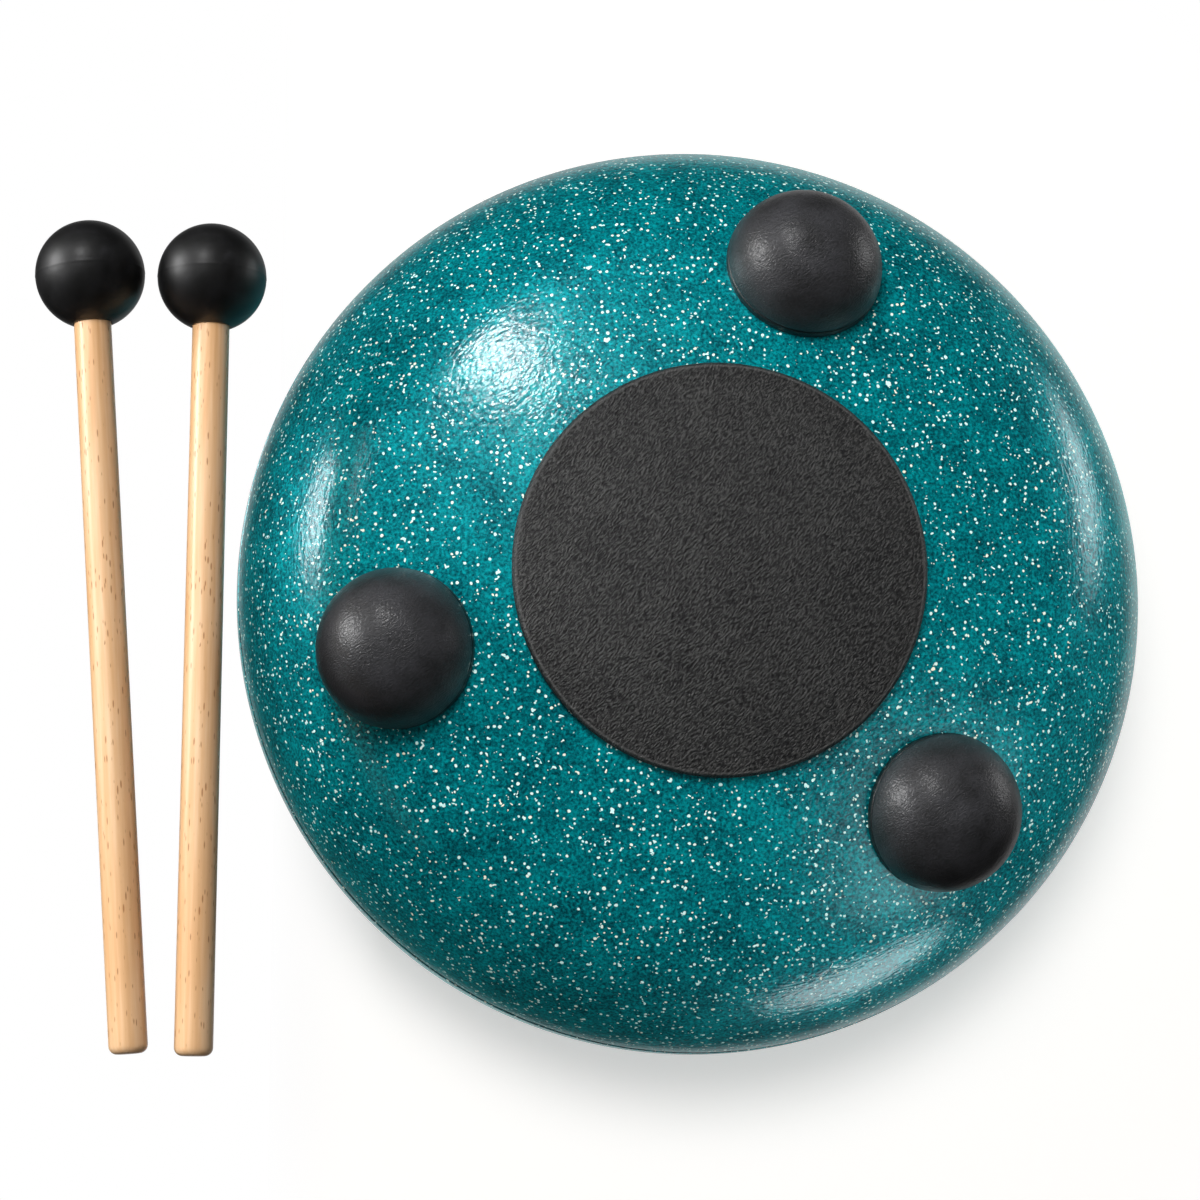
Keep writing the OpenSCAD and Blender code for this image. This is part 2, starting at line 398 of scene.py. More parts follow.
def foot_frame(i):
    """Local z points out of the bottom crown along a foot's axis, from the crown's centre."""
    turn = FOOT_PHASE + i * 2 * math.pi / FEET
    return (
        Matrix.Translation(DRUM + Vector((0, 0, CROWN_DROP)))
        @ Matrix.Rotation(turn, 4, "Z")
        @ Matrix.Rotation(math.pi - FOOT_LEAN, 4, "Y")
    )


def stud_cutter():
    """The stud holes of the bottom shell as one closed mesh."""
    low = CROWN_R - 4 * SHELL_T
    high = CROWN_R + 2 * SHELL_T
    middle = Matrix.Translation((0, 0, (low + high) / 2))
    work = bmesh.new()
    for i in range(FEET):
        bmesh.ops.create_cone(
            work,
            cap_ends=True,
            segments=48,
            radius1=STUD_HOLE_R,
            radius2=STUD_HOLE_R,
            depth=high - low,
            matrix=foot_frame(i) @ middle,
        )
    return piece_of("stud_holes", work)


def bottom_shell(material):
    """Lower half of the pod with its port, stud holes, and the lower side of the weld groove."""
    outer = pod_section(0, PORT_R + ENAMEL_LIP, SEAM_DROP + WELD_DEPTH)
    edge = [
        (SEAM_R - 0.6 * ENAMEL_LIP, SEAM_DROP + WELD_DEPTH - ENAMEL_LIP),
        (SEAM_R - WELD_DEPTH, SEAM_DROP),
        (SEAM_INNER_R, SEAM_DROP),
    ]
    inner = pod_section(SHELL_T, PORT_R, SEAM_DROP, 3 * RING)[::-1][1:]
    rim = [(PORT_R, pod_height(PORT_R) - ENAMEL_LIP)]
    piece = revolve("port_shell", outer + edge + inner + rim, closed=True)
    place(piece, Matrix.Translation(DRUM) @ Matrix.Rotation(math.pi, 4, "X"))
    cut(piece, stud_cutter())
    smooth_as_pod(piece)
    return dress(piece, "drum", "bottom_shell", material)


def seam_weld(material):
    """Ground weld in the groove between the shells, a little uneven all the way round."""
    depth = WELD_DEPTH - WELD_RECESS

    def uneven(point):
        wave = noise.noise(point / (2.5 * MM)) + 0.5 * noise.noise(point / MM)
        side = Vector((point.x, point.y, 0)).normalized()
        share = (math.hypot(point.x, point.y) - SEAM_R + WELD_DEPTH) / depth
        return point + side * (WELD_WAVE * wave * share)

    section = [(SEAM_R - WELD_DEPTH, 0), (SEAM_R - WELD_RECESS, depth)]
    for i in range(1, 6):
        height = depth * (1 - i / 3)
        bulge = WELD_BULGE * (1 - (height / depth) ** 2)
        section.append((SEAM_R - WELD_RECESS + bulge, height))
    section.append((SEAM_R - WELD_RECESS, -depth))
    piece = revolve("weld_bead", section, steps=WELD_STEPS, closed=True, shape=uneven)
    place(piece, Matrix.Translation(DRUM - Vector((0, 0, SEAM_DROP))))
    return dress(piece, "drum", "seam_weld", material)


def base_pad(material):
    """Leather disc that follows the crown, with a narrow rounded bevel round its face."""
    face_r = CROWN_R + TAPE_T + PAD_T
    back_r = CROWN_R + TAPE_T
    turn = math.asin(PAD_R / face_r)
    bevel = PAD_BEVEL / face_r
    section = arc((0, 0), face_r, 0, turn - PAD_ROUNDING_START * bevel)
    for share, drop in PAD_ROUNDING:
        angle = turn - share * bevel
        radius = face_r - drop * PAD_BEVEL
        section.append((radius * math.sin(angle), radius * math.cos(angle)))
    section += arc((0, 0), back_r, turn, 0, 2 * RING)
    piece = revolve("leather_pad", section)
    flip = Matrix.Rotation(math.pi, 4, "X")
    place(piece, Matrix.Translation(DRUM + Vector((0, 0, CROWN_DROP))) @ flip)
    return dress(piece, "drum", "base_pad", material)


def foot(i, material):
    """Rubber foot: a dome over a thin skirt that follows the shell, with a pocket for its stud."""
    matrix = foot_frame(i)
    dome_r = (FOOT_R**2 + FOOT_DOME**2) / (2 * FOOT_DOME)
    dome_z = CROWN_R + FOOT_BAND + FOOT_DOME - dome_r
    low = CROWN_R + FOOT_BAND
    last = math.acos((low + 1.25 * FOOT_ROUND - dome_z) / dome_r)
    section = arc((0, dome_z), dome_r, 0, last, FOOT_RING)
    for height, rounding in ((low, SKIRT_TOP), (CROWN_R, SKIRT_FOOT)):
        for inward, upward in rounding:
            section.append((FOOT_R - inward * FOOT_ROUND, height + upward * FOOT_ROUND))
    # The underside, and the pocket round the stud and its plate
    section += [(share * FOOT_R, CROWN_R) for share in (0.85, 0.7, 0.55, 0.4, 0.25)]
    plate = CROWN_R + PLATE_LIFT
    section += [(STUD_R, CROWN_R), (STUD_R, plate), (PLATE_R, plate)]
    section += [(PLATE_R, plate + PLATE_T), (0, plate + PLATE_T)]

    def seated(point):
        """Lets the underside follow the shell, and blunts the dome where it stands on the floor."""
        local = point.copy()
        if local.z < CROWN_R + 2 * FOOT_ROUND:
            lift = local.z - CROWN_R
            reach = Vector((local.x, local.y, CROWN_R))
            # Each step brings the point nearer to the shell, and a dozen settle it there
            for _ in range(12):
                reach.z -= pod_distance(matrix @ reach - DRUM)
            local.z = reach.z + lift
        world = matrix @ local
        world.z = (world.z + math.sqrt(world.z**2 + FOOT_BLUNT**2)) / 2
        return world

    piece = revolve(f"rubber_foot_{i + 1}", section, steps=FOOT_STEPS, shape=seated)
    return dress(piece, "drum", f"foot_{i + 1}", material)


# Mallets


def mallet_frame(i):
    """Local z points from a mallet's tail to its head, from the head's centre."""
    low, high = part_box(f"mallet_head_{i + 1}")
    centre = Vector(((low.x + high.x) / 2, high.y - HEAD_R, HEAD_R))
    arm = MALLET_LEN - HEAD_R - TAIL_ROUND
    rise = STICK_R - TAIL_ROUND
    slope = math.asin((HEAD_R - TAIL_ROUND) / math.hypot(arm, rise)) - math.atan(rise / arm)
    return (
        Matrix.Translation(centre)
        @ Matrix.Rotation(MALLET_TURNS[i], 4, "Z")
        @ Matrix.Rotation(slope - math.pi / 2, 4, "X")
    )


def mallet_stick(i, material):
    """Turned stick, a little slimmer at the head than at its rounded tail."""
    tail = -(MALLET_LEN - HEAD_R)
    top = STICK_DEPTH - HEAD_R
    section = [(0, tail)]
    for k in range(TAIL_RINGS + 1):
        turn = math.pi / 2 * k / TAIL_RINGS
        across = STICK_R - TAIL_ROUND + TAIL_ROUND * math.sin(turn)
        section.append((across, tail + TAIL_ROUND * (1 - math.cos(turn))))
    length = top - tail - TAIL_ROUND
    for k in range(1, STICK_RINGS + 1):
        share = k / STICK_RINGS
        across = STICK_R + (NECK_R - STICK_R) * share**STICK_TAPER
        section.append((across, tail + TAIL_ROUND + length * share))
    section.append((0, top))
    piece = revolve(f"beech_stick_{i + 1}", section, steps=STICK_STEPS)
    piece.data.set_sharp_from_angle(angle=STICK_SHARP_BEND)
    piece.matrix_world = mallet_frame(i)
    return dress(piece, f"mallet_{i + 1}", f"mallet_stick_{i + 1}", material)


def mallet_head(i, material):
    """Moulded rubber ball with a faint parting line and a soft lip round the stick."""
    mouth = math.asin((NECK_R + 0.1 * MM) / HEAD_R)
    section = []
    for k in range(HEAD_RINGS + 1):
        turn = (math.pi - mouth - HEAD_LIP) * k / HEAD_RINGS
        off_line = (turn - math.pi / 2) * HEAD_R / HEAD_RIDGE_W
        across = HEAD_R + HEAD_RIDGE * (math.exp(-off_line * off_line) - 1)
        section.append((across * math.sin(turn), across * math.cos(turn)))
    depth = -HEAD_R * math.cos(mouth)
    section += [
        (NECK_R + 0.18 * MM, depth + 0.05 * MM),
        (NECK_R + 0.05 * MM, depth + 0.25 * MM),
        (NECK_R + 0.02 * MM, STICK_DEPTH - HEAD_R),
        (0, STICK_DEPTH - HEAD_R),
    ]
    piece = revolve(f"rubber_ball_{i + 1}", section, steps=HEAD_STEPS)
    piece.matrix_world = mallet_frame(i)
    return dress(piece, f"mallet_{i + 1}", f"mallet_head_{i + 1}", material)


# Material helpers


class Paint:
    """A node material under construction."""

    def __init__(self, name):
        self.material = bpy.data.materials.new(name)
        self.material.use_nodes = True
        self.tree = self.material.node_tree
        self.shader = self.tree.nodes["Principled BSDF"]
        self.out = self.tree.nodes["Material Output"]

    def add(self, kind, inputs=None, **settings):
        """Adds a node; inputs maps a socket's name or number to a value or a node's output."""
        made = self.tree.nodes.new("ShaderNode" + kind)
        for name, value in settings.items():
            setattr(made, name, value)
        for socket, value in (inputs or {}).items():
            self.feed(made.inputs[socket], value)
        return made

    def feed(self, socket, value):
        if isinstance(value, bpy.types.NodeSocket):
            self.tree.links.new(value, socket)
        else:
            socket.default_value = value

    def set(self, **values):
        """Sets or links the shader's inputs; an underline stands for a space."""
        for name, value in values.items():
            self.feed(self.shader.inputs[name.replace("_", " ")], value)

    def millimetres(self, origin=(0, 0, 0), stretch=(1, 1, 1), turn=(0, 0, 0)):
        """Object coordinates in millimetres from an origin, turned and then divided by stretch."""
        coordinates = self.add("TexCoord").outputs["Object"]
        moved = self.vector("ADD", coordinates, tuple(-c for c in origin))
        inputs = {"Vector": moved, "Rotation": turn}
        turned = self.add("VectorRotate", inputs, rotation_type="EULER_XYZ").outputs[0]
        return self.vector("MULTIPLY", turned, tuple(1 / (MM * s) for s in stretch))

    def vector(self, operation, first, second):
        """A vector worked out from two others."""
        return self.add("VectorMath", {0: first, 1: second}, operation=operation).outputs[0]

    def length(self, vector):
        return self.add("VectorMath", {0: vector}, operation="LENGTH").outputs["Value"]

    def maths(self, operation, first, second=0.0, third=0.0, clamp=False):
        inputs = {0: first, 1: second, 2: third}
        return self.add("Math", inputs, operation=operation, use_clamp=clamp).outputs[0]

    def off_axis(self, vector):
        """Distance from the vertical axis."""
        return self.length(self.vector("MULTIPLY", vector, (1, 1, 0)))

    def noise(self, vector, period, detail=2.0, roughness=0.5):
        """Noise from 0 to 1 whose largest features are about one period wide."""
        inputs = {"Vector": vector, "Scale": 1 / period, "Detail": detail, "Roughness": roughness}
        return self.add("TexNoise", inputs).outputs[0]

    def warp(self, vector, period, amount):
        """The vector pushed about by a noise of that period, by up to about half the amount."""
        inputs = {"Vector": vector, "Scale": 1 / period, "Detail": 1.0}
        push = self.add("TexNoise", inputs).outputs["Color"]
        centred = self.vector("SUBTRACT", push, (0.5, 0.5, 0.5))
        sized = self.add("VectorMath", {0: centred, "Scale": amount}, operation="SCALE").outputs[0]
        return self.vector("ADD", vector, sized)

    def specks(self, vector, spacing, kept, small, large, soft):
        """Mask of scattered specks: the kept share of the cells has one, of a radius in between."""
        cells = self.add("TexVoronoi", {"Vector": vector, "Scale": 1 / spacing, "Randomness": 1.0})
        tint = self.add("SeparateColor", {0: cells.outputs["Color"]})
        away = self.maths("MULTIPLY", cells.outputs["Distance"], spacing)
        size = self.maths("MULTIPLY_ADD", tint.outputs[0], large - small, small)
        inside = self.maths("SUBTRACT", size, away)
        mask = self.maths("DIVIDE", inside, soft, clamp=True)
        chosen = self.maths("LESS_THAN", tint.outputs[1], kept)
        return self.maths("MULTIPLY", mask, chosen)

    def ramp(self, factor, *stops):
        """Colours between stops, each a place from 0 to 1 and a written colour."""
        made = self.add("ValToRGB", {0: factor})
        elements = made.color_ramp.elements
        while len(elements) < len(stops):
            elements.new(0.5)
        for element, (where, text) in zip(elements, stops):
            element.position = where
            element.color = colour(text)
        return made.outputs[0]

    def mix(self, factor, first, second):
        """The first colour where the factor is 0, and the second where it is 1."""
        made = self.add("Mix", data_type="RGBA")
        self.feed(made.inputs["Factor"], factor)
        self.feed(made.inputs[6], first)
        self.feed(made.inputs[7], second)
        return made.outputs[2]

    def span(self, factor, low, high):
        """A factor from 0 to 1 as a number from low to high."""
        return self.maths("MULTIPLY_ADD", factor, high - low, low)

    def bump(self, height, distance):
        """Bump of a height from 0 to 1, as deep as the distance in metres."""
        return self.add("Bump", {"Height": height, "Distance": distance}).outputs[0]


# Materials; their patterns are sized in millimetres


def enamel():
    """Teal metallic enamel with cyan grain, scattered cream flecks and a rippled clear coat."""
    paint = Paint("teal_enamel")
    at = paint.millimetres(DRUM)
    grain = paint.noise(paint.warp(at, 0.9, 0.5), 0.5, detail=2.0, roughness=0.6)
    cloud = paint.noise(at, 7.0, detail=3.0, roughness=0.55)
    cloud_share = 0.35
    levelled = paint.maths("SUBTRACT", grain, 0.5 * cloud_share)
    tone = paint.maths("MULTIPLY_ADD", cloud, cloud_share, levelled)
    teal = paint.ramp(
        tone, (0.3, "#004a54"), (0.44, "#00707a"), (0.56, "#009098"), (0.72, "#00b4bc")
    )
    round_ones = paint.specks(
        paint.warp(at, 0.8, 0.3), spacing=1.0, kept=0.68, small=0.11, large=0.31, soft=0.03
    )
    dashes = paint.specks(
        paint.warp(at, 1.1, 1.6), spacing=1.15, kept=0.68, small=0.1, large=0.29, soft=0.03
    )
    flecks = paint.maths("MAXIMUM", round_ones, dashes)
    tint = paint.noise(at, 2.6, detail=1.0)
    cream = paint.ramp(tint, (0.5, "#d4fffa"), (0.75, "#f8fbe0"))
    paint.set(
        Base_Color=paint.mix(flecks, teal, cream),
        Metallic=paint.span(flecks, 0.45, 0.0),
        Roughness=paint.span(grain, 0.35, 0.5),
        Specular_IOR_Level=0.1,
        Coat_Weight=1.0,
        Coat_Roughness=0.14,
        Coat_IOR=1.5,
        Sheen_Weight=0.35,
        Sheen_Roughness=0.35,
        Sheen_Tint=colour("#30d0d0"),
    )
    east, north, up = paint.add("SeparateXYZ", {0: at}).outputs
    ripple_radius = 24.0
    along = paint.maths("MULTIPLY", paint.maths("ARCTAN2", north, east), ripple_radius)
    radial = paint.add("CombineXYZ", {0: paint.off_axis(at), 1: along, 2: up}).outputs[0]
    ripple = paint.noise(paint.warp(radial, 3.0, 1.6), 0.55, detail=1.0)
    peel = paint.noise(at, 1.8, detail=1.0)
    flecked = paint.maths("MULTIPLY_ADD", flecks, 0.15, ripple)
    relief = paint.bump(paint.maths("MULTIPLY_ADD", peel, 0.6, flecked), 0.06 * MM)
    paint.set(Normal=relief, Coat_Normal=relief)
    return paint.material


def leather():
    """Black leather with a fine grain of short creases, painted shade along its edge and a painted
    highlight line inside it.
    """
    paint = Paint("black_leather")
    lean = (0, 0, math.radians(-40))
    at = paint.millimetres(DRUM, stretch=(0.26, 0.65, 0.26), turn=lean)
    crease = paint.noise(paint.warp(at, 2.0, 0.8), 1.0, detail=1.0, roughness=0.5)
    plain = paint.millimetres(DRUM)
    cloud = paint.noise(plain, 9.0, detail=2.0)
    tone = paint.maths("MULTIPLY_ADD", cloud, 0.12, paint.maths("SUBTRACT", crease, 0.06))
    grained = paint.ramp(tone, (0.36, "#181819"), (0.5, "#2a2a2a"), (0.64, "#414140"))
    # Painted shade: the pad is painted near black within 0.35 mm of its edge, where its side wall
    # falls in shade.
    from_edge = paint.maths("SUBTRACT", PAD_R / MM, paint.off_axis(plain))
    painted_edge_shade = paint.maths("DIVIDE", paint.maths("SUBTRACT", 0.35, from_edge), 0.2, clamp=True)
    # Painted highlight: a lighter line about 0.75 mm inside the pad's edge, where the bevel catches
    # light.
    off_line = paint.maths("ABSOLUTE", paint.maths("SUBTRACT", from_edge, 0.75))
    painted_bevel_highlight = paint.maths("SUBTRACT", 1.0, paint.maths("DIVIDE", off_line, 0.3), clamp=True)
    grain_with_painted_highlight = paint.mix(paint.maths("MULTIPLY", painted_bevel_highlight, 0.6), grained, colour("#5a5a59"))
    paint.set(
        Base_Color=paint.mix(painted_edge_shade, grain_with_painted_highlight, colour("#060606")),
        Roughness=paint.span(crease, 0.36, 0.5),
        Specular_IOR_Level=0.5,
        Normal=paint.bump(crease, 0.33 * MM),
    )
    return paint.material


def foot_rubber():
    """Dark moulded rubber with a fine drawn texture, with painted shade at its skirt."""
    paint = Paint("foot_rubber")
    at = paint.millimetres(DRUM)
    drawn = paint.millimetres(DRUM, stretch=(1.3, 0.6, 0.8), turn=(0, 0, math.radians(35)))
    fine = paint.noise(paint.warp(drawn, 1.6, 1.0), 0.4, detail=1.0)
    broad = paint.noise(at, 5.0, detail=2.0)
    tone = paint.maths("MULTIPLY_ADD", broad, 0.5, paint.maths("MULTIPLY", fine, 0.5))
    # Painted shade: the skirt and the first 0.8 mm of the dome above it are painted near black,
    # where the foot meets the shell.
    crown_centre = (0, 0, CROWN_DROP / MM)
    reach = paint.length(paint.vector("SUBTRACT", at, crown_centre))
    over_skirt = paint.maths("SUBTRACT", reach, (CROWN_R + FOOT_BAND) / MM)
    above_painted_shade = paint.maths("DIVIDE", over_skirt, 0.8, clamp=True)
    rubber = paint.ramp(tone, (0.35, "#212122"), (0.65, "#38383b"))
    paint.set(
        Base_Color=paint.mix(above_painted_shade, colour("#060606"), rubber),
        Roughness=paint.span(fine, 0.44, 0.6),
        Specular_IOR_Level=0.6,
        Coat_Weight=0.5,
        Coat_Roughness=0.2,
        Normal=paint.bump(fine, 0.11 * MM),
        Coat_Normal=paint.bump(fine, 0.085 * MM),
    )
    return paint.material


def head_rubber():
    """Matte black rubber, faintly dusty."""
    paint = Paint("head_rubber")
    at = paint.millimetres()
    fine = paint.noise(at, 0.3, detail=2.0)
    dust = paint.noise(paint.warp(at, 4.0, 2.0), 3.0, detail=4.0, roughness=0.6)
    paint.set(
        Base_Color=paint.ramp(dust, (0.35, "#0f0f0f"), (0.6, "#171718"), (0.8, "#252527")),
        Roughness=paint.span(dust, 0.42, 0.54),
        Specular_IOR_Level=0.7,
        Coat_Weight=0.15,
        Coat_Roughness=0.28,
        Normal=paint.bump(paint.maths("MULTIPLY_ADD", fine, 0.4, dust), 0.02 * MM),
    )
    return paint.material


def beech():
    """Pale beech with long soft grain and short brown flecks under a satin varnish."""
    paint = Paint("beech")
    long_grain = paint.millimetres(stretch=(1, 1, 22))
    grain = paint.noise(paint.warp(long_grain, 3.0, 0.8), 0.9, detail=3.0, roughness=0.6)
    broad = paint.noise(paint.millimetres(stretch=(1, 1, 9)), 3.5, detail=1.0)
    tone = paint.maths("MULTIPLY_ADD", grain, 0.6, paint.maths("MULTIPLY", broad, 0.4))
    wood = paint.ramp(tone, (0.28, "#dfa870"), (0.48, "#ecbc8b"), (0.68, "#f5cfa5"))
    short = paint.millimetres(stretch=(0.42, 0.42, 2.1))
    flecks = paint.specks(
        paint.warp(short, 2.0, 0.5), spacing=1.15, kept=0.75, small=0.16, large=0.38, soft=0.14
    )
    paint.set(
        Base_Color=paint.mix(paint.maths("MULTIPLY", flecks, 0.7), wood, colour("#a8642f")),
        Roughness=paint.span(grain, 0.34, 0.46),
        Coat_Weight=0.5,
        Coat_Roughness=0.22,
        Normal=paint.bump(paint.maths("SUBTRACT", grain, flecks), 0.02 * MM),
    )
    return paint.material


def weld():
    """Dark scale on a ground weld."""
    paint = Paint("dark_weld")
    at = paint.millimetres(DRUM)
    scale = paint.noise(at, 0.8, detail=3.0, roughness=0.65)
    paint.set(
        Base_Color=paint.ramp(scale, (0.3, "#17160f"), (0.55, "#2c281c"), (0.8, "#544a33")),
        Metallic=0.3,
        Roughness=paint.span(scale, 0.55, 0.8),
        Specular_IOR_Level=0.2,
        Normal=paint.bump(scale, 0.05 * MM),
    )
    return paint.material


def adhesive():
    """Grey film with trapped air."""
    paint = Paint("adhesive_film")
    at = paint.millimetres(DRUM)
    bubbles = paint.specks(at, spacing=1.1, kept=0.4, small=0.2, large=0.45, soft=0.2)
    haze = paint.noise(at, 3.0, detail=3.0)
    film = paint.ramp(haze, (0.3, "#7f7f7a"), (0.7, "#93938d"))
    paint.set(
        Base_Color=paint.mix(bubbles, film, colour("#a5a59f")),
        Roughness=paint.span(haze, 0.45, 0.65),
        Normal=paint.bump(bubbles, 0.03 * MM),
    )
    return paint.material


def zinc():
    """Zinc-plated steel with a faint bloom."""
    paint = Paint("zinc_plate")
    at = paint.millimetres()
    bloom = paint.noise(at, 1.2, detail=4.0, roughness=0.6)
    paint.set(
        Base_Color=paint.ramp(bloom, (0.3, "#a9adb1"), (0.7, "#c6c8c6")),
        Metallic=1.0,
        Roughness=paint.span(bloom, 0.28, 0.45),
        Normal=paint.bump(bloom, 0.01 * MM),
    )
    return paint.material


def coat_node(node, material):
    """Gives a CAD node its material."""
    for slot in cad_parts[node].material_slots:
        slot.material = material


# Studio

FLOOR_SIZE = 4.0
FLOOR_GLOW = 0.7
LAMP_DISTANCE = 1.2
WHITE = (1, 1, 1, 1)
BLACK = (0, 0, 0, 1)

# The backing paper is a ring round the pod, seen from below. It ends before the mallets in x,
# and over the fade it turns to plain white.
SHEET_Z = 78 * MM
SHEET_R = 150 * MM
SHEET_HOLE_R = 62 * MM
SHEET_END = 55 * MM
SHEET_FADE = 20 * MM
PAPER_LIT = (0.82, 0.8, 0.78, 1)
PAPER_TINT = (1, 0.987, 0.975, 1)
PAPER_GLOW = 0.5

# Azimuth and elevation of the reflected backdrop's middle, and how far round that it is full
# and where it ends, in degrees
BACKDROP = (142, 73)
BACKDROP_FULL = 24
BACKDROP_END = 46
# The world's strength in reflections, outside and inside the backdrop, and on other surfaces
WORLD_DARK = 0.006
WORLD_PALE = 0.5
WORLD_FILL = 0.15

# Camera, fitted to the outline, the pad, the feet and the seam in the photo: degrees, metres
CAMERA_AZIMUTH = -45.73
CAMERA_ELEVATION = -79.9
CAMERA_DISTANCE = 0.55
# The photo's width, the camera's focal length, and how far the drum is off the middle, in pixels
PHOTO_W = 1200
FOCAL = 3195.5
DRUM_OFF_MIDDLE = 89.84


def one_sided(paint, surface):
    """Shows the surface only from the side that its faces look to."""
    back = paint.add("NewGeometry").outputs["Backfacing"]
    clear = paint.add("BsdfTransparent").outputs[0]
    made = paint.add("MixShader", {0: back, 1: surface, 2: clear})
    paint.tree.links.new(made.outputs[0], paint.out.inputs["Surface"])
    paint.tree.nodes.remove(paint.shader)


def stage_sheet(name, points, faces):
    """A sheet that only the camera sees: it lights nothing and casts no shadow."""
    mesh = bpy.data.meshes.new(name)
    mesh.from_pydata(points, [], faces)
    sheet = bpy.data.objects.new(name, mesh)
    bpy.context.scene.collection.objects.link(sheet)
    sheet.visible_diffuse = False
    sheet.visible_glossy = False
    sheet.visible_transmission = False
    sheet.visible_shadow = False
    return sheet


def studio_floor():
    """Pale floor under the set, seen from above only."""
    paint = Paint("floor")
    cloud = paint.noise(paint.add("TexCoord").outputs["Object"], 0.8)
    pale = paint.ramp(cloud, (0.3, "#c4c4c3"), (0.7, "#c8c8c7"))
    lit = paint.add("BsdfDiffuse", {"Color": pale}).outputs[0]
    glow = paint.add("Emission", {"Color": colour("#f4f4f3"), "Strength": FLOOR_GLOW}).outputs[0]
    one_sided(paint, paint.add("AddShader", {0: lit, 1: glow}).outputs[0])
    half = FLOOR_SIZE / 2
    corners = [(-half, -half, 0), (half, -half, 0), (half, half, 0), (-half, half, 0)]
    floor = stage_sheet("floor", corners, [(0, 1, 2, 3)])
    floor.data.materials.append(paint.material)
    return floor


def backing_sheet():
    """White paper round the drum, seen from below only, that fades to white before the mallets."""
    paint = Paint("backing_paper")
    at = paint.millimetres(DRUM)
    east = paint.add("SeparateXYZ", {0: at}).outputs[0]
    end = (SHEET_END - DRUM.x) / MM
    by_side = paint.maths("DIVIDE", paint.maths("SUBTRACT", end, east), SHEET_FADE / MM, clamp=True)
    to_edge = paint.maths("SUBTRACT", SHEET_R / MM, paint.off_axis(at))
    by_edge = paint.maths("DIVIDE", to_edge, SHEET_FADE / MM, clamp=True)
    share = paint.maths("MULTIPLY", by_side, by_edge)
    lit = paint.add("BsdfDiffuse", {"Color": paint.mix(share, BLACK, PAPER_LIT)}).outputs[0]
    tint = paint.mix(share, WHITE, PAPER_TINT)
    strength = paint.span(share, 1.0, PAPER_GLOW)
    glow = paint.add("Emission", {"Color": tint, "Strength": strength}).outputs[0]
    one_sided(paint, paint.add("AddShader", {0: lit, 1: glow}).outputs[0])
    inner, outer = [], []
    for i in range(STEPS):
        turn = 2 * math.pi * i / STEPS
        side = Vector((math.cos(turn), math.sin(turn), 0))
        near = DRUM + side * SHEET_HOLE_R
        far = DRUM + side * SHEET_R
        inner.append((near.x, near.y, SHEET_Z))
        outer.append((min(far.x, SHEET_END), far.y, SHEET_Z))
    faces = []
    for i in range(STEPS):
        following = (i + 1) % STEPS
        faces.append((i, following, STEPS + following, STEPS + i))
    sheet = stage_sheet("backing_paper", inner + outer, faces)
    sheet.data.materials.append(paint.material)
    return sheet


def receivers(name, pieces, state="INCLUDE"):
    """The pieces that a lamp lights, or with EXCLUDE those that it does not."""
    group = bpy.data.collections.new(name)
    for piece in pieces:
        group.objects.link(piece)
    for linked in group.collection_objects:
        linked.light_linking.link_state = state
    return group


def studio_world():
    """White for the camera, a pale backdrop in reflections, and a soft fill on other surfaces."""
    world = bpy.data.worlds.new("studio")
    world.use_nodes = True
    bpy.context.scene.world = world
    tree = world.node_tree
    nodes, links = tree.nodes, tree.links
    background = nodes["Background"]
    background.inputs["Color"].default_value = WHITE
    rays = nodes.new("ShaderNodeLightPath")
    direction = nodes.new("ShaderNodeTexCoord").outputs["Generated"]
    towards = nodes.new("ShaderNodeVectorMath")
    towards.operation = "DOT_PRODUCT"
    links.new(direction, towards.inputs[0])
    towards.inputs[1].default_value = around(*BACKDROP)
    pale = nodes.new("ShaderNodeMapRange")
    pale.interpolation_type = "SMOOTHSTEP"
    links.new(towards.outputs["Value"], pale.inputs["Value"])
    pale.inputs["From Min"].default_value = math.cos(math.radians(BACKDROP_END))
    pale.inputs["From Max"].default_value = math.cos(math.radians(BACKDROP_FULL))
    pale.inputs["To Min"].default_value = WORLD_DARK
    pale.inputs["To Max"].default_value = WORLD_PALE
    seen = nodes.new("ShaderNodeMath")
    seen.operation = "MAXIMUM"
    links.new(rays.outputs["Is Glossy Ray"], seen.inputs[0])
    links.new(rays.outputs["Is Transmission Ray"], seen.inputs[1])
    reflected = nodes.new("ShaderNodeMix")
    links.new(seen.outputs[0], reflected.inputs[0])
    reflected.inputs[2].default_value = WORLD_FILL
    links.new(pale.outputs[0], reflected.inputs[3])
    final = nodes.new("ShaderNodeMix")
    links.new(rays.outputs["Is Camera Ray"], final.inputs[0])
    links.new(reflected.outputs[0], final.inputs[2])
    final.inputs[3].default_value = 1.0
    links.new(final.outputs[0], background.inputs["Strength"])


def around(azimuth, elevation):
    """Unit direction of an azimuth from +X and an elevation, in degrees."""
    turn = math.radians(azimuth)
    rise = math.radians(elevation)
    flat = math.cos(rise)
    return Vector((math.cos(turn) * flat, math.sin(turn) * flat, math.sin(rise)))


